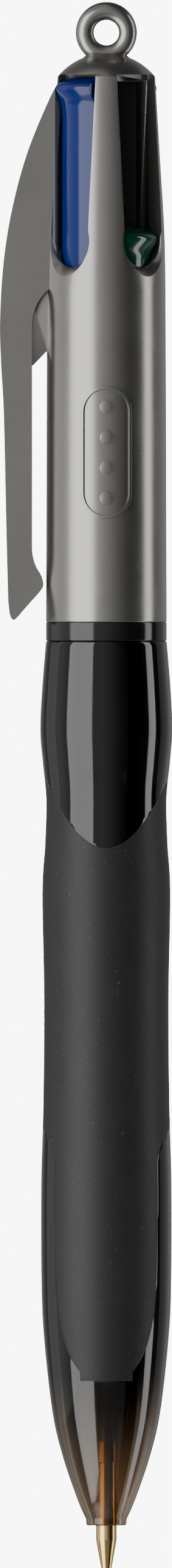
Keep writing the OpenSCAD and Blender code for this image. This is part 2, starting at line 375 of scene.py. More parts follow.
def soften(piece: bpy.types.Object, width: float, segments: int = 3, angle: float = 32.0) -> None:
    """Rounds the sharp edges of a piece.

    Args:
        piece: the piece.
        width: rounding width in millimetres.
        segments: pieces across the rounding.
        angle: edges sharper than this many degrees are rounded.
    """
    bm = bmesh.new()
    bm.from_mesh(piece.data)
    bmesh.ops.remove_doubles(bm, verts=bm.verts, dist=0.004)
    bmesh.ops.dissolve_degenerate(bm, edges=bm.edges, dist=0.004)
    bm.to_mesh(piece.data)
    bm.free()
    step = piece.modifiers.new("rounding", "BEVEL")
    step.width = width
    step.segments = segments
    step.limit_method = "ANGLE"
    step.angle_limit = math.radians(angle)
    step.use_clamp_overlap = True
    bake(piece)


def complete(piece: bpy.types.Object, material: bpy.types.Material, sharp: float = 40.0,
             metres: bool = False) -> bpy.types.Object:
    """Scales a piece to metres, shades it smooth and gives it its material.

    Args:
        piece: the piece.
        material: its material.
        sharp: edges above this angle in degrees stay crisp.
        metres: the mesh is in metres already.

    Returns:
        The piece.
    """
    mesh = piece.data
    if not metres:
        mesh.transform(Matrix.Scale(MM, 4))
    mesh.polygons.foreach_set("use_smooth", [True] * len(mesh.polygons))
    mesh.set_sharp_from_angle(angle=math.radians(sharp))
    mesh.materials.clear()
    mesh.materials.append(material)
    mesh.update()
    return piece


def even_shading(piece: bpy.types.Object) -> None:
    """Keeps large flat faces evenly lit beside their rounded edges.

    Args:
        piece: the piece.
    """
    step = piece.modifiers.new("shading", "WEIGHTED_NORMAL")
    step.mode = "FACE_AREA"
    step.weight = 100
    step.keep_sharp = True
    bake(piece)


def report(piece: bpy.types.Object, words: str) -> None:
    """Writes one line about a finished piece to the log."""
    log.info("%s: %d faces, %s", piece.name, len(piece.data.polygons), words)


# ---- geometry node trees -----------------------------------------------------------------


PIECES_PER_TURN = 26
WIRE_SIDES = 10


@dataclass(frozen=True)
class Helix:
    """A round wire wound round an upright axis, made by Geometry Nodes."""

    turns: float
    radius: float
    wire: float
    low: float
    high: float
    centre: Point = (0.0, 0.0)

    @staticmethod
    def tree(material: bpy.types.Material) -> bpy.types.GeometryNodeTree:
        """Builds the node tree.

        Args:
            material: the material that its last node sets.

        Returns:
            A tree with named inputs for the sizes, in metres.
        """
        made = bpy.data.node_groups.new("helix_" + material.name, "GeometryNodeTree")
        for name in ("Turns", "Radius", "Wire", "Height"):
            made.interface.new_socket(name=name, in_out="INPUT", socket_type="NodeSocketFloat")
        made.interface.new_socket(name="Foot", in_out="INPUT", socket_type="NodeSocketVector")
        made.interface.new_socket(name="Geometry", in_out="OUTPUT",
                                  socket_type="NodeSocketGeometry")
        nodes, links = made.nodes, made.links
        into = nodes.new("NodeGroupInput")
        spiral = nodes.new("GeometryNodeCurveSpiral")
        spiral.inputs["Resolution"].default_value = PIECES_PER_TURN
        for source, target in (("Turns", "Rotations"), ("Radius", "Start Radius"),
                               ("Radius", "End Radius"), ("Height", "Height")):
            links.new(into.outputs[source], spiral.inputs[target])
        section = nodes.new("GeometryNodeCurvePrimitiveCircle")
        section.inputs["Resolution"].default_value = WIRE_SIDES
        links.new(into.outputs["Wire"], section.inputs["Radius"])
        sweep = nodes.new("GeometryNodeCurveToMesh")
        sweep.inputs["Fill Caps"].default_value = True
        links.new(spiral.outputs["Curve"], sweep.inputs["Curve"])
        links.new(section.outputs["Curve"], sweep.inputs["Profile Curve"])
        move = nodes.new("GeometryNodeTransform")
        links.new(sweep.outputs["Mesh"], move.inputs["Geometry"])
        links.new(into.outputs["Foot"], move.inputs["Translation"])
        whole = nodes.new("GeometryNodeRealizeInstances")
        links.new(move.outputs["Geometry"], whole.inputs["Geometry"])
        dress = nodes.new("GeometryNodeSetMaterial")
        dress.inputs["Material"].default_value = material
        links.new(whole.outputs["Geometry"], dress.inputs["Geometry"])
        out = nodes.new("NodeGroupOutput")
        links.new(dress.outputs["Geometry"], out.inputs["Geometry"])
        return made

    def build(self, tree: bpy.types.GeometryNodeTree, name: str,
              material: bpy.types.Material) -> bpy.types.Object:
        """Runs the tree with these sizes.

        Args:
            tree: the tree that tree() made.
            name: the piece's name.
            material: its material.

        Returns:
            A plain mesh piece in metres.
        """
        piece = add_object(name, bpy.data.meshes.new(name))
        step = piece.modifiers.new("winding", "NODES")
        values = {
            "Turns": self.turns,
            "Radius": self.radius * MM,
            "Wire": self.wire * MM,
            "Height": (self.high - self.low) * MM,
            "Foot": (self.centre[0] * MM, self.centre[1] * MM, self.low * MM),
        }
        step.node_group = tree
        for item in tree.interface.items_tree:
            if item.in_out == "INPUT":
                step[item.identifier] = values[item.name]
        bake(piece)
        bm = bmesh.new()
        bm.from_mesh(piece.data)
        bmesh.ops.recalc_face_normals(bm, faces=bm.faces)
        bm.to_mesh(piece.data)
        bm.free()
        return complete(piece, material, sharp=60.0, metres=True)


# ---- shader groups -----------------------------------------------------------------------


def add_sockets(group: bpy.types.ShaderNodeTree, direction: str,
                sockets: dict[str, tuple[str, float | None]]) -> None:
    """Gives a node group its named inputs or outputs.

    Args:
        group: the group.
        direction: INPUT or OUTPUT.
        sockets: kind and default value by name.
    """
    for name, (kind, value) in sockets.items():
        made = group.interface.new_socket(name=name, in_out=direction,
                                          socket_type="NodeSocket" + kind)
        if value is not None:
            made.default_value = value


def math_node(tree: bpy.types.NodeTree, kind: str, *values: Socket | float,
              clamp: bool = False) -> Socket:
    """Adds a Math node.

    Args:
        tree: the tree.
        kind: the operation.
        values: sockets or numbers that it takes.
        clamp: keeps the result between 0 and 1.

    Returns:
        Its output.
    """
    made = tree.nodes.new("ShaderNodeMath")
    made.operation = kind
    made.use_clamp = clamp
    for i, v in enumerate(values):
        if isinstance(v, bpy.types.NodeSocket):
            tree.links.new(v, made.inputs[i])
        else:
            made.inputs[i].default_value = v
    return made.outputs[0]


def new_group(name: str, inputs: dict[str, tuple[str, float | None]],
              outputs: Sequence[str]) -> tuple[bpy.types.ShaderNodeTree, Node, Node]:
    """Starts a shader node group.

    Args:
        name: its name.
        inputs: kind and default value of each input by name.
        outputs: names of its number outputs.

    Returns:
        The group, its input node and its output node.
    """
    group = bpy.data.node_groups.new(name, "ShaderNodeTree")
    add_sockets(group, "INPUT", inputs)
    add_sockets(group, "OUTPUT", {output: ("Float", None) for output in outputs})
    return group, group.nodes.new("NodeGroupInput"), group.nodes.new("NodeGroupOutput")


def noise(tree: bpy.types.NodeTree, vector: Socket, scale: Socket, detail: float,
          roughness: float = 0.5) -> Socket:
    """Adds a Noise Texture.

    Args:
        tree: the tree.
        vector: where it is read.
        scale: how fine it is.
        detail: its octaves.
        roughness: share of the finer octaves.

    Returns:
        Its output.
    """
    made = tree.nodes.new("ShaderNodeTexNoise")
    made.inputs["Detail"].default_value = detail
    made.inputs["Roughness"].default_value = roughness
    tree.links.new(vector, made.inputs["Vector"])
    tree.links.new(scale, made.inputs["Scale"])
    return made.outputs["Fac"]


def excess(tree: bpy.types.NodeTree, value: Socket, threshold: float, gain: float) -> Socket:
    """Mask of where a value is above a threshold, between 0 and 1."""
    above = math_node(tree, "SUBTRACT", value, threshold)
    return math_node(tree, "MULTIPLY", above, gain, clamp=True)


def object_coordinates(tree: bpy.types.NodeTree) -> Socket:
    """The piece's own coordinates."""
    return tree.nodes.new("ShaderNodeTexCoord").outputs["Object"]


def grain_group() -> bpy.types.ShaderNodeTree:
    """Fine moulded grain: its height, for a bump.

    Returns:
        A group that puts out Height.
    """
    group, into, out = new_group(
        "moulded_grain",
        {"Vector": ("Vector", None), "Scale": ("Float", 9000.0), "Coarse": ("Float", 500.0)},
        ["Height"])
    fine = noise(group, into.outputs["Vector"], into.outputs["Scale"], 3.0)
    broad = noise(group, into.outputs["Vector"], into.outputs["Coarse"], 4.0)
    mixed = math_node(group, "MULTIPLY_ADD", broad, 0.35, fine)
    group.links.new(mixed, out.inputs["Height"])
    return group


def handling_group() -> bpy.types.ShaderNodeTree:
    """Traces of use: soft smudges, and hairline scratches that run along the pen.

    Returns:
        A group that puts out Smudge and Scratch.
    """
    group, into, out = new_group(
        "handling_marks",
        {"Vector": ("Vector", None), "Smudge Size": ("Float", 160.0),
         "Scratch Density": ("Float", 900.0)},
        ["Smudge", "Scratch"])
    smudge = noise(group, into.outputs["Vector"], into.outputs["Smudge Size"], 5.0, 0.6)
    stretch = group.nodes.new("ShaderNodeMapping")
    stretch.inputs["Rotation"].default_value = (0.04, 0.03, 0.3)
    stretch.inputs["Scale"].default_value = (1.0, 1.0, 0.035)
    group.links.new(into.outputs["Vector"], stretch.inputs["Vector"])
    lines = noise(group, stretch.outputs["Vector"], into.outputs["Scratch Density"], 2.0)
    group.links.new(excess(group, lines, 0.68, 9.0), out.inputs["Scratch"])
    group.links.new(smudge, out.inputs["Smudge"])
    return group


def dust_group() -> bpy.types.ShaderNodeTree:
    """Fine specks of dust.

    Returns:
        A group that puts out Mask.
    """
    group, into, out = new_group(
        "fine_dust", {"Vector": ("Vector", None), "Scale": ("Float", 3500.0)}, ["Mask"])
    specks = noise(group, into.outputs["Vector"], into.outputs["Scale"], 1.0)
    group.links.new(excess(group, specks, 0.7, 6.0), out.inputs["Mask"])
    return group


def inside_shade_group() -> bpy.types.ShaderNodeTree:
    """Metallic coat against painted shade: 1 outside the shell, fading to 0 inside its bore, where
    shade is painted.

    Returns:
        A group that puts out Mask.
    """
    group, into, out = new_group(
        "coating_reach",
        {"Vector": ("Vector", None), "Bare Radius": ("Float", 0.0032),
         "Coated Radius": ("Float", 0.0039), "Bare Above": ("Float", -0.0038)},
        ["Mask"])
    nodes, links = group.nodes, group.links
    split = nodes.new("ShaderNodeSeparateXYZ")
    links.new(into.outputs["Vector"], split.inputs[0])
    x2 = math_node(group, "MULTIPLY", split.outputs["X"], split.outputs["X"])
    square = math_node(group, "MULTIPLY_ADD", split.outputs["Y"], split.outputs["Y"], x2)
    reach = nodes.new("ShaderNodeMapRange")
    reach.interpolation_type = "SMOOTHSTEP"
    links.new(math_node(group, "SQRT", square), reach.inputs["Value"])
    links.new(into.outputs["Bare Radius"], reach.inputs["From Min"])
    links.new(into.outputs["Coated Radius"], reach.inputs["From Max"])
    above = math_node(group, "GREATER_THAN", split.outputs["Z"], into.outputs["Bare Above"])
    links.new(math_node(group, "MAXIMUM", reach.outputs["Result"], above), out.inputs["Mask"])
    return group


GROUPS: dict[str, bpy.types.ShaderNodeTree] = {}
DUST_COLOUR = (0.45, 0.44, 0.42)
SCRATCH_ROUGHNESS = 0.25
COAT_ROUGHNESS = 0.05


# ---- finishes ----------------------------------------------------------------------------


@dataclass(frozen=True)
class Finish:
    """One material: a shader with grain, handling marks and a little dust on it."""

    name: str
    colour: tuple[float, float, float]
    worn: tuple[float, float, float]
    roughness: float
    metallic: float = 0.0
    transmission: float = 0.0
    coat: float = 0.0
    specular: float = 0.5
    ior: float = 1.5
    grain: float = 9000.0
    bump: float = 0.02
    scratches: float = 0.3
    dust: float = 0.1
    spread: float = 0.06

    def build(self) -> bpy.types.Material:
        """Makes the material.

        Returns:
            A node material on Object coordinates.
        """
        material = bpy.data.materials.new(self.name)
        material.use_nodes = True
        tree = material.node_tree
        nodes, links = tree.nodes, tree.links
        shader = nodes["Principled BSDF"]
        shader.inputs["Metallic"].default_value = self.metallic
        shader.inputs["Transmission Weight"].default_value = self.transmission
        shader.inputs["Coat Weight"].default_value = self.coat
        shader.inputs["Coat Roughness"].default_value = COAT_ROUGHNESS
        shader.inputs["IOR"].default_value = self.ior
        shader.inputs["Specular IOR Level"].default_value = self.specular
        where = object_coordinates(tree)
        used = {key: nodes.new("ShaderNodeGroup") for key in GROUPS}
        for key, node in used.items():
            node.node_tree = GROUPS[key]
            links.new(where, node.inputs["Vector"])
        used["grain"].inputs["Scale"].default_value = self.grain
        tint = self.blend(tree, used["marks"].outputs["Smudge"], self.colour, self.worn)
        marked = math_node(tree, "MULTIPLY", used["marks"].outputs["Scratch"], self.scratches)
        scuffed = tuple(min(1.0, c * 1.6 + 0.02) for c in self.worn)
        tint = self.blend(tree, marked, tint, scuffed)
        speck = math_node(tree, "MULTIPLY", used["dust"].outputs["Mask"], self.dust)
        tint = self.blend(tree, speck, tint, DUST_COLOUR)
        links.new(tint, shader.inputs["Base Color"])
        uneven = math_node(tree, "SUBTRACT", used["marks"].outputs["Smudge"], 0.5)
        rough = math_node(tree, "MULTIPLY_ADD", uneven, self.spread * 2, self.roughness)
        rough = math_node(tree, "MULTIPLY_ADD", marked, SCRATCH_ROUGHNESS, rough,
                          clamp=True)
        links.new(rough, shader.inputs["Roughness"])
        bump = nodes.new("ShaderNodeBump")
        bump.inputs["Strength"].default_value = min(1.0, self.bump * 10)
        bump.inputs["Distance"].default_value = 0.1 * MM * self.bump * 10
        links.new(used["grain"].outputs["Height"], bump.inputs["Height"])
        links.new(bump.outputs["Normal"], shader.inputs["Normal"])
        return material

    @staticmethod
    def blend(tree: bpy.types.NodeTree, factor: Socket, first: Socket | tuple[float, ...],
              second: Socket | tuple[float, ...]) -> Socket:
        """Mixes two colours.

        Args:
            tree: the material's tree.
            factor: how much of the second colour.
            first: colour or socket.
            second: colour or socket.

        Returns:
            The mixed colour.
        """
        made = tree.nodes.new("ShaderNodeMix")
        made.data_type = "RGBA"
        tree.links.new(factor, made.inputs["Factor"])
        for side, value in (("A", first), ("B", second)):
            socket = next(s for s in made.inputs if s.name == side and s.type == "RGBA")
            if isinstance(value, bpy.types.NodeSocket):
                tree.links.new(value, socket)
            else:
                socket.default_value = (*value, 1.0)
        return next(s for s in made.outputs if s.type == "RGBA")


@dataclass(frozen=True)
class SmokedFinish(Finish):
    """Smoked clear plastic, painted darker up the barrel and clearer at the nose to stand in for
    the light that thicker walls hold back.
    """

    clear: tuple[float, float, float] = (0.42, 0.31, 0.21)
    deep_height: float = -127.0
    clear_height: float = -141.0

    def build(self) -> bpy.types.Material:
        """Makes the material.

        Returns:
            A node material that is dark above deep_height and clearer below clear_height.
        """
        material = super().build()
        tree = material.node_tree
        shader = tree.nodes["Principled BSDF"]
        split = tree.nodes.new("ShaderNodeSeparateXYZ")
        tree.links.new(object_coordinates(tree), split.inputs[0])
        ramp = tree.nodes.new("ShaderNodeMapRange")
        ramp.interpolation_type = "SMOOTHSTEP"
        ramp.inputs["From Min"].default_value = self.deep_height * MM
        ramp.inputs["From Max"].default_value = self.clear_height * MM
        tree.links.new(split.outputs["Z"], ramp.inputs["Value"])
        dark = shader.inputs["Base Color"].links[0].from_socket
        # painted light: the colour runs from dark above deep_height to clear below clear_height,
        # standing in for more light passing the thin nose walls
        tint = self.blend(tree, ramp.outputs["Result"], dark, self.clear)
        tree.links.new(tint, shader.inputs["Base Color"])
        return material


@dataclass(frozen=True)
class CoatAndPaintedShadeFinish(Finish):
    """Metallic coat over dark plastic, with painted shade inside the shell: dark and not metallic
    there.
    """

    inside_shade: tuple[float, float, float] = (0.012, 0.012, 0.012)

    def build(self) -> bpy.types.Material:
        """Makes the material.

        Returns:
            A node material that is metallic outside the barrel and painted dark within it, as
            shade.
        """
        material = super().build()
        tree = material.node_tree
        shader = tree.nodes["Principled BSDF"]
        reach = tree.nodes.new("ShaderNodeGroup")
        reach.node_tree = inside_shade_group()
        tree.links.new(object_coordinates(tree), reach.inputs["Vector"])
        coat = shader.inputs["Base Color"].links[0].from_socket
        mask = reach.outputs["Mask"]
        # painted shade: inside the shell's bore the colour turns dark and the metal drops away
        tree.links.new(self.blend(tree, mask, self.inside_shade, coat), shader.inputs["Base Color"])
        tree.links.new(math_node(tree, "MULTIPLY", mask, self.metallic),
                       shader.inputs["Metallic"])
        return material


@dataclass
class Palette:
    """Every material of the pen, made once."""

    made: dict[str, bpy.types.Material] = field(default_factory=dict)

    def __post_init__(self) -> None:
        """Builds the shader groups, then the materials."""
        GROUPS.update(grain=grain_group(), marks=handling_group(), dust=dust_group())
        for finish in (
            CoatAndPaintedShadeFinish("pewter_plastic", (0.22, 0.216, 0.203), (0.242, 0.237, 0.223), 0.27,
                         metallic=0.9, bump=0.006, scratches=0.08, dust=0.03),
            Finish("black_gloss", (0.004, 0.004, 0.004), (0.007, 0.007, 0.007), 0.14,
                   specular=0.42, bump=0.004, dust=0.05),
            Finish("core_black", (0.004, 0.004, 0.004), (0.006, 0.006, 0.006), 0.5,
                   specular=0.25, bump=0.01, dust=0.05),
            SmokedFinish("smoked_clear", (0.003, 0.003, 0.0032), (0.004, 0.004, 0.0042), 0.08,
                         transmission=1.0, bump=0.0, scratches=0.1, dust=0.03, spread=0.03),
            Finish("grip_rubber", (0.009, 0.009, 0.009), (0.013, 0.013, 0.0125), 0.5,
                   grain=5200.0, bump=0.04, scratches=0.05, dust=0.12, specular=0.3),
            Finish("blue_gloss", (0.0, 0.008, 0.085), (0.001, 0.011, 0.1), 0.15,
                   specular=0.36, bump=0.004, dust=0.04),
            Finish("green_gloss", (0.0, 0.035, 0.02), (0.0, 0.045, 0.026), 0.13, coat=0.2,
                   specular=0.4, bump=0.005),
            Finish("red_gloss", (0.35, 0.006, 0.01), (0.4, 0.012, 0.016), 0.14, coat=0.5,
                   bump=0.005),
            Finish("refill_clear", (0.86, 0.88, 0.88), (0.8, 0.82, 0.82), 0.22,
                   transmission=0.75, bump=0.01, scratches=0.2),
            Finish("blue_ink", (0.0, 0.01, 0.2), (0.0, 0.014, 0.24), 0.12, bump=0.0),
            Finish("green_ink", (0.0, 0.1, 0.05), (0.0, 0.12, 0.06), 0.12, bump=0.0),
            Finish("black_ink", (0.003, 0.003, 0.004), (0.005, 0.005, 0.007), 0.12, bump=0.0),
            Finish("red_ink", (0.3, 0.002, 0.006), (0.34, 0.004, 0.01), 0.12, bump=0.0),
            Finish("turned_brass", (0.74, 0.52, 0.2), (0.6, 0.41, 0.15), 0.2, metallic=1.0,
                   bump=0.01, scratches=0.25),
            Finish("ball_steel", (0.62, 0.62, 0.64), (0.56, 0.56, 0.58), 0.12, metallic=1.0,
                   bump=0.0),
            Finish("spring_steel", (0.52, 0.52, 0.54), (0.44, 0.43, 0.42), 0.25, metallic=1.0,
                   bump=0.0, scratches=0.3),
        ):
            self.made[finish.name] = finish.build()

    def __getitem__(self, name: str) -> bpy.types.Material:
        """The material of that name."""
        return self.made[name]


# ---- sub-assemblies ----------------------------------------------------------------------


@dataclass
class Barrel:
    """Upper barrel: domed, slotted shell with the lanyard ring."""

    palette: Palette
    dome_radius: float = 6.0
    shoulder: Point = (4.68, -4.2)
    foot: float = FRONT_JOINT
    bore: float = 4.62
    ceiling: float = -4.65
    ring_radius: float = 2.94
    ring_bore: float = 1.2
    ring_section: float = 0.92
    slot_half: float = 2.5
    slot_top: float = -4.0
    slot_low: float = -19.9
    slot_depths: Point = (2.0, 8.0)
    crown_room: Point = (3.0, -8.0)
    scoop_rings: tuple[Point, ...] = ((4.75, 0.0), (5.15, 0.28), (5.55, 0.75), (6.1, 1.6))
    badge_height: float = -40.1
    badge_half: Point = (2.45, 6.3)
    badge_line: float = 0.25
    dot_radius: float = 0.62
    dot_pitch: float = 2.9
    rib_half: float = 0.42
    web_half: float = 0.9
    edge: float = 0.16

    def shell(self) -> bpy.types.Object:
        """Solid of the shell with its dome, before the slots are cut.

        Returns:
            The solid.
        """
        r, z = self.shoulder
        centre = z - math.sqrt(self.dome_radius ** 2 - r ** 2)
        start = math.degrees(math.acos(r / self.dome_radius))
        dome = arc((0, centre), self.dome_radius, 90, start, 12)
        side = smooth([(r, z), (5.18, -12.5), (5.6, -20.0), (5.7, -30.0), (5.74, -43.0),
                       (JOINT_RADIUS, self.foot + 0.11)], 4)
        lip = arc((JOINT_RADIUS - LIP, self.foot + LIP), LIP, 0, -90, 4)
        inside = [(4.45, self.foot), (4.45, -55.0), (self.bore, -54.6), (self.bore, -21),
                  (4.1, -20), (4.0, -5.6), (3.6, self.ceiling), (0, self.ceiling)]
        return lathe(dome + side[1:] + lip + inside, 144, "barrel_shell")

    def slot(self, colour: Colour) -> list[bpy.types.Object]:
        """Tools that cut the slot of one button: the opening and the room for its domed top.

        Args:
            colour: whose slot it is.

        Returns:
            The two tools.
        """
        w, low, turn = self.slot_half, self.slot_low, colour.turn
        (near, far), (room_near, room_foot) = self.slot_depths, self.crown_room
        outline = [(-w, self.ceiling), (-w, low)]
        outline += arc((0, low), w, 180, 360, 36)[1:] + [(w, self.ceiling)]
        room = [(-w, self.slot_top), (-w, room_foot), (w, room_foot), (w, self.slot_top)]
        return [slab(shape, lambda t, z, d: turn @ Vector((d, t, z)), start, far, "slot")
                for shape, start in ((outline, near), (room, room_near))]

    def scoop(self, colour: Colour) -> bpy.types.Object:
        """Tool that cuts the dished edge at the lower end of one slot.

        Args:
            colour: whose slot it is.

        Returns:
            The tool.
        """
        low, turn = self.slot_low, colour.turn
        rings = [[turn @ Vector((d, r * math.cos(a), low + r * math.sin(a)))
                  for a in (2 * math.pi * k / 72 for k in range(72))]
                 for d, r in ((depth, self.slot_half + wider) for depth, wider in self.scoop_rings)]
        return loft(rings, "scoop")

    def ring(self) -> bpy.types.Object:
        """Lanyard ring with its flat land in the bore.

        Returns:
            The solid.
        """
        middle = self.ring_radius - self.ring_section
        land = math.degrees(math.acos((self.ring_bore - middle) / self.ring_section))
        outline = arc((middle, 0), self.ring_section, land, -land, 28)
        ring = lathe(outline, 72, "ring")
        ring.data.transform(Matrix.Rotation(math.pi / 2, 4, "X"))
        return ring

    def stadium(self, half_width: float, half_height: float, low: float,
                high: float) -> bpy.types.Object:
        """Upright stadium-shaped bar through the front wall.

        Args:
            half_width: half of its width.
            half_height: half of its height.
            low: its front depth along Y.
            high: its rear depth along Y.

        Returns:
            The solid.
        """
        rise = half_height - half_width
        outline = (arc((0, self.badge_height + rise), half_width, 0, 180, 24)
                   + arc((0, self.badge_height - rise), half_width, 180, 360, 24))
        return slab(outline, upright, low, high, "stadium")

    def badge(self) -> bpy.types.Object:
        """Plain raised outline with four dots, one for each colour.

        Returns:
            The solid.
        """
        middle, (half_width, half_height) = self.badge_height, self.badge_half
        skin = lathe([(5.3, middle - 8), (5.95, middle - 8), (5.92, middle + 8),
                      (5.3, middle + 8)], 144, "badge")
        rim = self.stadium(half_width, half_height, -7, -4)
        combine(rim, [self.stadium(half_width - self.badge_line, half_height - self.badge_line,
                                   -8, -3)], Cut.REMOVE)
        heights = [middle + (i - 1.5) * self.dot_pitch for i in range(4)]
        combine(rim, [slab(circle((0, z), self.dot_radius), upright, -7, -4, "dot")
                      for z in heights], Cut.JOIN)
        combine(skin, [rim], Cut.KEEP)
        soften(skin, 0.09, 3, 50.0)
        return skin

    def web(self) -> bpy.types.Object:
        """Thin web between clip and barrel.

        Returns:
            The solid.
        """
        outline = rounded([(-7.6, -24.0, 0), (-7.6, -31.9, 0), (-7.0, -31.8, 0.2),
                           (-5.75, -30.5, 0.3), (-5.2, -30.3, 0), (-4.8, -24.0, 0)])
        return slab(outline, upright, -self.web_half, self.web_half, "web")

    def build(self) -> None:
        """Makes the shell and hands it to the frame."""
        shell = self.shell()
        cutters = [tool for colour in Colour for tool in (*self.slot(colour), self.scoop(colour))]
        combine(shell, cutters, Cut.REMOVE)
        side = [(2.95, -24.0), (4.85, -24.0), (4.85, -20.5), (4.45, -20.5), (4.45, -4.55),
                (2.95, -4.55)]
        ribs = [slab(side, lambda r, z, t, a=a: Matrix.Rotation(a, 3, "Z") @ Vector((r, t, z)),
                     -self.rib_half, self.rib_half, "rib")
                for a in (0, math.pi / 2, math.pi, -math.pi / 2)]
        flare = smooth([(2.95, -2.86), (2.62, -2.62), (2.3, -2.42), (2.02, -2.2), (1.78, -2.0)], 4)
        neck = lathe([(0, -3.3)] + flare + [(0, -1.95)], 72, "neck")
        combine(shell, [*ribs, self.web()], Cut.JOIN)
        soften(shell, self.edge)
        bore = slab(circle((0, 0), self.ring_bore, 72), upright, -3, 3, "bore")
        combine(neck, [bore], Cut.REMOVE)
        parts = [shell, self.ring(), neck, self.badge()]
        bm = bmesh.new()
        for part in parts:
            bm.from_mesh(part.data)
        bm.to_mesh(shell.data)
        bm.free()
        for part in parts[1:]:
            bpy.data.objects.remove(part)
        complete(shell, self.palette["pewter_plastic"], sharp=35.0)
        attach(shell, "upper")
        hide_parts("upper_barrel")
        report(shell, "slotted shell with ring")


@dataclass
class Clip:
    """Clip: flat fin off the barrel that turns into a springy arm with a pad."""

    palette: Palette
    half: float = 1.6
    hinge: float = -31.5
    bend_above: float = 2.0
    bend_below: float = 3.0
    bend_depth: float = -8.6
    slot_half: float = 2.33
    rounding: float = 0.42

    def outline(self) -> Points:
        """Side view of the clip, outer edge first.

        Returns:
            A closed outline of (x, height).
        """
        outer = smooth([(-4.2, -4.15), (-5.41, -6.2), (-7.56, -11.4), (-9.01, -16.7),
                        (-9.85, -21.9), (-10.2, -27.5), (-10.1, self.hinge), (-9.83, -36.5),
                        (-9.6, -46.9), (-9.42, -54.2)], 7)
        tip = smooth([(-9.42, -54.2), (-9.25, -55.6), (-8.9, -56.12), (-8.5, -55.85)], 4)
        pad = smooth([(-8.5, -55.85), (-7.5, -54.7), (-6.35, -53.4), (-6.02, -52.75),
                      (-6.2, -51.9), (-6.75, -50.9), (-7.05, -49.8), (-7.09, -48.6)], 5)
        inner = [(-7.09, -48.6 + i * 1.6) for i in range(1, 13)]
        root = smooth([(-7.09, -28.6), (-7.02, -27.2), (-6.6, -25.9), (-5.9, -24.9),
                       (-5.2, -24.35)], 4)
        back = [(-4.75, -22.0), (-4.7, -12.0), (-4.4, -8.0), (-3.9, -5.2)]
        return outer + tip[1:] + pad[1:] + inner + root + back

    def build(self) -> None:
        """Makes the clip as one moulding."""
        clip = slab(self.outline(), upright, -self.half, self.half, "clip")
        barrel = Barrel(self.palette, slot_half=self.slot_half)
        slots = [tool for colour in (Colour.BLUE, Colour.BLACK) for tool in barrel.slot(colour)]
        combine(clip, slots, Cut.REMOVE)
        soften(clip, self.rounding, 4, 50.0)
        complete(clip, self.palette["pewter_plastic"], sharp=35.0)
        even_shading(clip)
        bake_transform(clip)
        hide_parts("clip_arm")
        report(clip, "bends at its root")


@dataclass
class Core:
    """What the upper barrel holds: latch post, collar with its thread and spring plate."""

    palette: Palette
    collar_top: float = FRONT_JOINT
    joint: float = REAR_JOINT
    refill_hole: float = 1.28
    middle_hole: float = 0.7
    plate_heights: Point = (-56, -49)
    refill_offset: float = 2.35

    def build(self) -> None:
        """Dresses the latch post and makes the collar and its thread."""
        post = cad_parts["latch_core"]
        post.data.materials.clear()
        post.data.materials.append(self.palette["core_black"])
        t, j = self.collar_top, self.joint
        band = ([(4.36, t)] + arc((JOINT_RADIUS - LIP, t - LIP), LIP, 90, 0, 4)
                + arc((JOINT_RADIUS - LIP, j + LIP), LIP, 0, -90, 4))
        spigot = [(4.62, j), (4.6, -58.9), (4.8, -59.2), (4.8, -65.3), (4.62, -66), (4.05, -66),
                  (4.05, -54), (0, -54)]
        collar = lathe([(0, -50), (4.5, -50), (4.56, -50.06), (4.56, -54), (4.36, -54.5)]
                       + band + spigot, 128, "collar")
        middles = [colour.turn @ Vector((self.refill_offset, 0, 0)) for colour in Colour]
        outlines = [circle((middle.x, middle.y), self.refill_hole) for middle in middles]
        outlines.append(circle((0, 0), self.middle_hole))
        combine(collar, [slab(outline, level, *self.plate_heights, "hole")
                         for outline in outlines], Cut.REMOVE)
        black = self.palette["black_gloss"]
        complete(collar, black, sharp=30.0)
        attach(collar, "upper")
        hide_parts("collar_connector")
        report(collar, "black joint collar")
        winding = Helix(turns=4.0, radius=4.74, wire=0.16, low=-64.9, high=-59.9)
        thread = winding.build(Helix.tree(black), "collar_thread", black)
        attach(thread, "upper")
        report(thread, "thread of the collar")


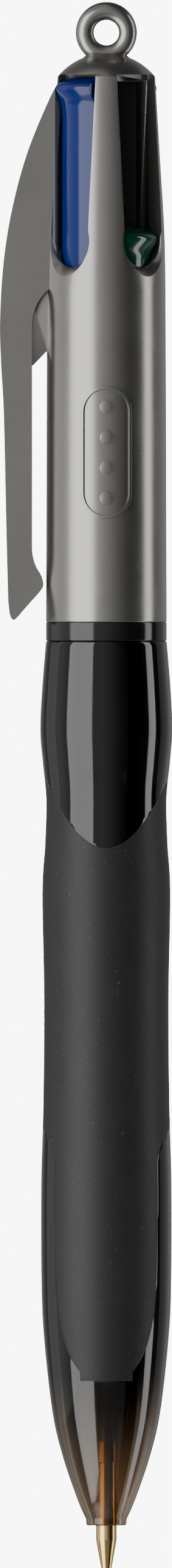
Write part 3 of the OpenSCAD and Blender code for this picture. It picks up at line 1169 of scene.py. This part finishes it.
@dataclass
class LowerBarrel:
    """Smoked lower barrel and the rubber sleeve let into it."""

    palette: Palette
    joint: float = REAR_JOINT
    nose: float = -142.6
    hole: float = 1.35
    nose_edge: float = 0.08
    rubber: float = 0.9
    recess_play: float = 0.02
    recess_proud: float = 0.4
    window_half: float = 3.85
    grip_dip: float = -77.85
    grip_rise: float = 6.65
    grip_foot: float = -128.8

    def outside(self) -> Points:
        """Outer outline as (radius, height), joint to nose.

        Returns:
            The outline's points.
        """
        body = smooth([(5.8, self.joint - 0.16), (6.15, -62.5), (6.34, -66.6), (6.08, -69.9),
                       (5.76, -73.2), (5.86, -77.4), (6.13, -82.2), (5.96, -92.5),
                       (6.05, -102.7), (6.25, -110.0), (6.22, -119.5), (5.96, -124.9),
                       (5.17, -131.8), (4.19, -136.0), (2.79, -140.1), (1.95, -142.0)], 7)
        return [(5.66, self.joint), (5.73, self.joint - 0.05)] + body

    def inside(self) -> Points:
        """Inner outline, nose to joint.

        Returns:
            The outline's points, as (radius, height).
        """
        narrow = smooth([(self.hole, -141.9), (1.75, -140.8), (2.55, -138.7), (3.45, -135.3),
                         (4.0, -131.8), (4.2, -128.3)], 4)
        rim = arc((1.72, self.nose + 0.22), 0.22, 0, -90, 4)
        edge = [(self.hole + self.nose_edge, self.nose), (self.hole, self.nose + self.nose_edge)]
        return (rim + edge + narrow
                + [(4.2, -67.2), (5.0, -66.5), (5.0, -59.0), (4.7, self.joint)])

    def band(self, deep: float, proud: float, name: str) -> bpy.types.Object:
        """Ring of the barrel's wall that the rubber fills.

        Args:
            deep: thickness below the barrel's surface.
            proud: height above it.
            name: the object's name.

        Returns:
            The solid.
        """
        kept = [p for p in self.outside() if -130.8 < p[1] < -69.5]
        outer = [(r + proud, z) for r, z in kept]
        inner = [(r - deep, z) for r, z in reversed(kept)]
        return lathe(outer + inner, 160, name)

    def trimmers(self) -> list[bpy.types.Object]:
        """Cutters for the rubber's top edge, its foot and its two side windows.

        Returns:
            The four cutters.
        """
        top = [(x, self.grip_dip + self.grip_rise * min(1.0, x * x / 35)) for x in
               (-9 + 0.36 * i for i in range(51))]
        cut = slab([(9, -60), (-9, -60)] + top, upright, -9, 9, "top_edge")
        foot = lathe([(0, self.grip_foot), (9, self.grip_foot), (9, -134), (0, -134)], 64,
                     "foot_edge")
        w = self.window_half
        arch = arc((0, -108.4), w, 0, 180, 40)
        flare = smooth([(w, -108.4), (w + 0.05, -115.0), (w + 0.25, -121.9), (w + 0.75, -126.2),
                        (w + 1.9, -129.9)], 6)
        outline = arch + [(-x, z) for x, z in flare[1:]] + list(reversed(flare[1:]))
        windows = [slab(outline, lambda y, z, x: Vector((x, y, z)), low, high, "window")
                   for low, high in ((-9, -2.5), (2.5, 9))]
        return [cut, foot, *windows]

    def build(self) -> None:
        """Makes the barrel with its recess, and the sleeve."""
        barrel = lathe(self.outside() + self.inside(), 160, "lower_shell")
        recess = self.band(self.rubber + self.recess_play, self.recess_proud, "recess")
        combine(recess, self.trimmers(), Cut.REMOVE)
        combine(barrel, [recess], Cut.REMOVE)
        soften(barrel, 0.04, 2, 50.0)
        complete(barrel, self.palette["smoked_clear"], sharp=35.0)
        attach(barrel, "lower")
        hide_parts("lower_barrel")
        report(barrel, "smoked clear shell")

        sleeve = self.band(self.rubber, 0.0, "grip_sleeve")
        combine(sleeve, self.trimmers(), Cut.REMOVE)
        soften(sleeve, 0.07, 3, 50.0)
        complete(sleeve, self.palette["grip_rubber"], sharp=40.0)
        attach(sleeve, "lower")
        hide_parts("rubber_grip")
        report(sleeve, "rubber sleeve with side windows")


@dataclass
class Refill:
    """One colour's button, refill, point and spring."""

    palette: Palette
    colour: Colour
    stroke: float = 14.4
    offset: float = 2.35
    plate_half: float = 2.25
    face_centre: float = 0.2
    plate_in: float = 2.6
    plate_step: float = 0.85
    plate_foot: float = -23.5
    crown_inset: float = 0.12
    stem_radius: float = 0.74
    tube_top: float = -27.3
    tube_end: float = -120.0
    tube_radius: float = 1.1
    tube_bore: float = 0.8
    ink_top: float = -48.0
    ink_radius: float = 0.775
    ink_above_end: float = 2.9
    bend_top: float = -45.6
    bend_end: float = -115.6
    seat: float = -50.0
    spring_stop: float = -26.4
    spring_turns: float = 12.0
    spring_radius: float = 1.4
    spring_wire: float = 0.15
    spring_lift: float = 0.17

    @property
    def drop(self) -> float:
        """How far the button is down at rest."""
        return self.stroke if self.colour.pressed else 0.0

    def lean(self, z: float) -> float:
        """Distance of the refill's axis from the pen's axis at height z, at rest.

        Args:
            z: the height.

        Returns:
            The distance.
        """
        if not self.colour.pressed:
            return self.offset
        top, end = self.bend_top - self.drop, self.bend_end - self.drop
        return self.offset * (1 - ease((z - top) / (end - top)))

    def put(self, piece: bpy.types.Object, dx: float = 0.0, dz: float = 0.0) -> None:
        """Moves a local mesh outwards by dx, up by dz, and round to its side of the pen."""
        piece.data.transform(self.colour.turn @ Matrix.Translation((dx, 0, dz)))

    def button(self) -> bpy.types.Object:
        """Coloured button with its flared thumb end, foot and stem.

        Returns:
            The solid at its place in the pen.
        """
        face = [(4.2, self.plate_foot), (4.2, -8.6)]
        face += smooth([(4.2, -8.6), (4.23, -7.7), (4.3, -6.95), (4.42, -6.55), (4.68, -6.05),
                        (4.87, -5.6), (4.92, -5.25), (4.75, -4.93), (4.3, -4.63), (3.5, -4.32),
                        (2.7, -4.16)], 4)[1:]
        plate = lathe([(0, self.plate_foot)] + face + [(0, -4.1)], 192,
                      "button_" + self.colour.tag)
        plate.data.transform(Matrix.Translation((self.face_centre, 0, 0)))
        w, inner = self.plate_half, self.plate_in
        flank = inner - self.plate_step
        wide = inner + w - flank
        block = rounded([(inner, -flank, 0.1), (wide, -w, 0.2), (7, -w, 0), (7, w, 0),
                         (wide, w, 0.2), (inner, flank, 0.1)])
        body = slab(block, level, -24, -4.76, "block")
        v = w - self.crown_inset
        combine(body, [slab([(3.12, -v), (7.1, -v), (7.1, v), (3.12, v)], level, -6, -4, "crown")],
                Cut.JOIN)
        combine(plate, [body], Cut.KEEP)
        soften(plate, 0.22, 4, 45.0)
        tooth = slab(rounded([(2.15, -0.9, 0.2), (3.0, -0.9, 0), (3.0, 0.9, 0),
                              (2.15, 0.9, 0.2)]), level, -5.75, -4.8, "tooth")
        foot = lathe([(0, -26.4), (3.9, -26.4), (4.0, -26.3), (4.0, -23.4), (0, -23.4)], 96,
                     "foot")
        combine(foot, [slab(rounded([(1.4, -1.35, 0.2), (5.4, -1.35, 0), (5.4, 1.35, 0),
                                     (1.4, 1.35, 0.2)]), level, -27, -23, "sides")], Cut.KEEP)
        r = self.stem_radius
        stem = lathe([(0, -31.5), (0.62, -31.5), (r, -31.3), (r, -26.2), (0, -26.2)], 32, "stem")
        stem.data.transform(Matrix.Translation((self.offset, 0, 0)))
        combine(plate, [tooth, foot, stem], Cut.JOIN)
        self.put(plate, dz=-self.drop)
        return plate

    def swept(self, outline: Sequence[Point], segments: int, name: str) -> bpy.types.Object:
        """Lathed tube whose rings follow the refill's bend.

        Args:
            outline: closed outline of (radius, height) at rest.
            segments: pieces round the tube.
            name: the object's name.

        Returns:
            The solid at its place in the pen.
        """
        piece = lathe(outline, segments, name)
        for vertex in piece.data.vertices:
            vertex.co.x += self.lean(vertex.co.z)
        self.put(piece)
        return piece

    def tube(self) -> bpy.types.Object:
        """Clear refill tube.

        Returns:
            The solid at its place in the pen.
        """
        top, end = self.tube_top - self.drop, self.tube_end - self.drop
        heights = [top + (end - top) * i / 40 for i in range(41)]
        outer = [(self.tube_radius if 0 < i < 40 else 1.04, z) for i, z in enumerate(heights)]
        inner = [(self.tube_bore, z) for z in reversed(heights)]
        return self.swept(outer + inner, 32, "tube_" + self.colour.tag)

    def ink(self) -> bpy.types.Object:
        """Ink column with a hollow top surface.

        Returns:
            The solid at its place in the pen.
        """
        top, end = self.ink_top - self.drop, self.tube_end + self.ink_above_end - self.drop
        wall = [(self.ink_radius, top + (end - top) * i / 32) for i in range(33)]
        outline = [(0, top - 0.45), (0.4, top - 0.33)] + wall + [(0, end)]
        return self.swept(outline, 28, "ink_column_" + self.colour.tag)

    def point(self) -> bpy.types.Object:
        """Turned brass point with its rolled lip round the ball.

        Returns:
            The solid at its place in the pen.
        """
        e = self.tube_end - 0.02
        outline = [(0, -132.2), (0.3, -132.55), (0.37, -132.6)]
        outline += smooth([(0.43, -132.55), (0.5, -132.35), (0.535, -132.1)], 3)
        outline += smooth([(0.535, -132.1), (0.58, -131.9), (0.98, -129.65)], 4)[1:]
        outline += [(1.0, -129.5), (1.0, -126.1), (0.96, -126.02), (0.96, -125.9),
                    (1.0, -125.82), (1.0, -122.2), (1.05, -122.08), (1.1, -122.0), (1.1, e),
                    (0.78, e), (0.78, e + 2.6), (0.3, e + 2.6), (0, e + 2.55)]
        piece = lathe(outline, 56, "point_" + self.colour.tag)
        self.put(piece, dx=0.0 if self.colour.pressed else self.offset, dz=-self.drop)
        return piece

    def spring(self, tree: bpy.types.GeometryNodeTree) -> bpy.types.Object:
        """Return spring between the plate and the button's foot.

        Args:
            tree: the winding tree of the springs.

        Returns:
            The spring in metres.
        """
        middle = self.colour.turn @ Vector((self.offset, 0, 0))
        winding = Helix(self.spring_turns, self.spring_radius, self.spring_wire,
                        low=self.seat + self.spring_lift,
                        high=self.spring_stop - self.spring_lift - self.drop,
                        centre=(middle.x, middle.y))
        return winding.build(tree, "coil_" + self.colour.tag, self.palette["spring_steel"])

    def build(self, tree: bpy.types.GeometryNodeTree) -> None:
        """Makes this colour's pieces and ties them to their bodies.

        Args:
            tree: the winding tree of the springs.
        """
        tag, dark = self.colour.tag, self.colour is Colour.BLACK
        slider, tip = "button_" + tag, "point_" + tag

        button = complete(self.button(), self.palette["black_gloss" if dark else tag + "_gloss"])
        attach(button, slider)
        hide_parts("slider_" + tag)
        for piece, finish, node, slot in (
            (self.tube(), "refill_clear", "refill_tube_" + tag, "refill_plastic"),
            (self.ink(), tag + "_ink", "ink_" + tag, tag + "_ink"),
        ):
            complete(piece, self.palette[finish], sharp=50.0)
            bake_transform(piece)
            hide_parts(node)
            report(piece, "bends with its button")
        brass = complete(self.point(), self.palette["turned_brass"], sharp=30.0)
        brass.name = "brass_" + tag
        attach(brass, tip)
        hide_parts("brass_tip_" + tag)
        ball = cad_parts["ball_" + tag]
        ball.data.materials.clear()
        ball.data.materials.append(self.palette["ball_steel"])

        coil = self.spring(tree)
        if self.colour.pressed:
            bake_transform(coil)
        else:
            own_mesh(coil)
            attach(coil, "upper")
        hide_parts("spring_" + tag)
        report(button, "button")
        report(coil, "return spring")


# ---- stage -------------------------------------------------------------------------------


@dataclass
class Studio:
    """Pale floor, soft strip lights, a black card and the camera."""

    middle: float = -71.77
    across: float = -1.948
    view_height: float = 149.77
    floor_height: float = -600.0
    strip_height: float = 1.0
    card_top: float = 0.35
    card_lift: float = 0.001
    backdrop: float = 7.9
    floor_glow: float = 2.2
    behind: float = 0.4
    dimmest: float = 0.03
    seen_through: float = 0.03
    glows: tuple[tuple[float, float, float], ...] = ((-14.0, 32.0, 0.64), (-92.0, 26.0, 0.8))

    def floor(self) -> None:
        """Plain pale floor, well below the point."""
        bm = bmesh.new()
        bmesh.ops.create_grid(bm, x_segments=1, y_segments=1, size=2.0)
        floor = add_object("floor", to_mesh(bm, "floor"))
        floor.location.z = self.floor_height * MM
        material = bpy.data.materials.new("pale_floor")
        material.use_nodes = True
        shader = material.node_tree.nodes["Principled BSDF"]
        shader.inputs["Base Color"].default_value = (0.82, 0.82, 0.81, 1)
        shader.inputs["Roughness"].default_value = 0.7
        shader.inputs["Emission Color"].default_value = (1, 1, 1, 1)
        seen = material.node_tree.nodes.new("ShaderNodeLightPath").outputs["Is Camera Ray"]
        glow = math_node(material.node_tree, "MULTIPLY", seen, self.floor_glow)
        material.node_tree.links.new(glow, shader.inputs["Emission Strength"])
        floor.data.materials.append(material)

    def strip(self, name: str, azimuth: float, spread: float, power: float,
              distance: float = 0.55) -> None:
        """Tall soft light.

        Args:
            name: its name.
            azimuth: side it stands on, 0 in front of the pen and positive to the right.
            spread: width of the light as seen from the pen, in degrees.
            power: watts.
            distance: from the pen's axis, in metres.
        """
        data = bpy.data.lights.new(name, "AREA")
        data.shape = "RECTANGLE"
        data.size = 2 * distance * math.tan(math.radians(spread / 2))
        data.size_y = self.strip_height
        data.energy = power
        light = add_object(name, data)
        a = math.radians(azimuth)
        light.location = (distance * math.sin(a), -distance * math.cos(a), self.middle * MM)
        aim = Vector((0, 0, self.middle * MM)) - light.location
        light.rotation_euler = aim.to_track_quat("-Z", "Y").to_euler()
        light.visible_camera = False

    def flag(self, name: str, azimuth: float, spread: float, distance: float = 0.4) -> None:
        """Tall black card that darkens one side of the reflections.

        Args:
            name: its name.
            azimuth: side it stands on, as for strip.
            spread: its width as seen from the pen, in degrees.
            distance: from the pen's axis, in metres.
        """
        a, half = math.radians(azimuth), distance * math.tan(math.radians(spread / 2))
        middle = Vector((distance * math.sin(a), -distance * math.cos(a), 0))
        across = Vector((math.cos(a), math.sin(a), 0)) * half
        low, high = self.floor_height * MM + self.card_lift, self.card_top
        bm = bmesh.new()
        bm.faces.new([bm.verts.new(middle + across * s + Vector((0, 0, z)))
                      for s, z in ((-1, low), (1, low), (1, high), (-1, high))])
        card = add_object(name, to_mesh(bm, name))
        material = bpy.data.materials.new("black_card")
        material.use_nodes = True
        shader = material.node_tree.nodes["Principled BSDF"]
        shader.inputs["Base Color"].default_value = (0.003, 0.003, 0.003, 1)
        shader.inputs["Roughness"].default_value = 1.0
        card.data.materials.append(material)
        card.visible_camera = False
        card.visible_shadow = False

    def lobe(self, tree: bpy.types.NodeTree, azimuth: Socket, centre: float, width: float,
             strength: float) -> Socket:
        """Soft-edged glow of the surroundings.

        Args:
            tree: the surroundings' tree.
            azimuth: direction round the pen in degrees, 0 in front.
            centre: azimuth of the glow's middle.
            width: how wide it is, in degrees, at about a third of its strength.
            strength: brightness in its middle.

        Returns:
            Brightness by direction.
        """
        away = math_node(tree, "MULTIPLY_ADD", azimuth, 1.0 / width, -centre / width)
        square = math_node(tree, "MULTIPLY", away, away)
        fall = math_node(tree, "EXPONENT", math_node(tree, "MULTIPLY", square, -1.0))
        return math_node(tree, "MULTIPLY", fall, strength)

    def surroundings(self) -> None:
        """Pale backdrop for the camera and soft glows round the pen for the surfaces."""
        world = bpy.data.worlds.new("studio")
        bpy.context.scene.world = world
        world.use_nodes = True
        tree = world.node_tree
        nodes, links = tree.nodes, tree.links
        split = nodes.new("ShaderNodeSeparateXYZ")
        links.new(nodes.new("ShaderNodeTexCoord").outputs["Generated"], split.inputs[0])
        front = math_node(tree, "MULTIPLY", split.outputs["Y"], -1.0)
        angle = math_node(tree, "ARCTAN2", split.outputs["X"], front)
        azimuth = math_node(tree, "MULTIPLY", angle, 180.0 / math.pi)
        rear = math_node(tree, "MAXIMUM", split.outputs["Y"], 0.0)
        total = math_node(tree, "MULTIPLY_ADD", math_node(tree, "POWER", rear, 3.0),
                          self.behind, self.dimmest)
        for centre, width, strength in self.glows:
            total = math_node(tree, "ADD", total,
                              self.lobe(tree, azimuth, centre, width, strength))
        path = nodes.new("ShaderNodeLightPath")
        total = math_node(tree, "MULTIPLY_ADD", path.outputs["Is Transmission Ray"],
                          self.seen_through, total)
        strength = math_node(tree, "MULTIPLY_ADD", path.outputs["Is Camera Ray"],
                             self.backdrop, total)
        sky = nodes["Background"]
        sky.inputs["Color"].default_value = (1, 1, 1, 1)
        links.new(strength, sky.inputs["Strength"])

    def lights(self) -> None:
        """Places the strip lights and the soft surroundings."""
        self.strip("key_left", azimuth=-49, spread=48, power=7.1)
        self.strip("rim_right", azimuth=88, spread=16, power=2.0)
        self.strip("rim_left_back", azimuth=-115, spread=30, power=0.35)
        self.strip("rim_right_back", azimuth=130, spread=40, power=0.35)
        self.flag("flag_right", azimuth=54, spread=30)
        self.surroundings()

    def camera(self) -> None:
        """Level camera that looks along +Y and takes in the pen's whole height."""
        data = bpy.data.cameras.new("camera")
        data.type = "ORTHO"
        data.ortho_scale = self.view_height * MM
        camera = add_object("camera", data)
        camera.location = (self.across * MM, -1.0, self.middle * MM)
        camera.rotation_euler = (math.pi / 2, 0, 0)
        data.clip_end = 10.0
        bpy.context.scene.camera = camera

    def build(self) -> None:
        """Sets the whole stage."""
        self.camera()
        self.floor()
        self.lights()


def main() -> None:
    """Builds the stage and every sub-assembly."""
    logging.basicConfig(level=logging.INFO, format="%(message)s", force=True)
    Studio().build()
    palette = Palette()
    Barrel(palette).build()
    Clip(palette).build()
    Core(palette).build()
    LowerBarrel(palette).build()
    winding = Helix.tree(palette["spring_steel"])
    for colour in Colour:
        Refill(palette, colour).build(winding)


if __name__ == "__main__":
    main()
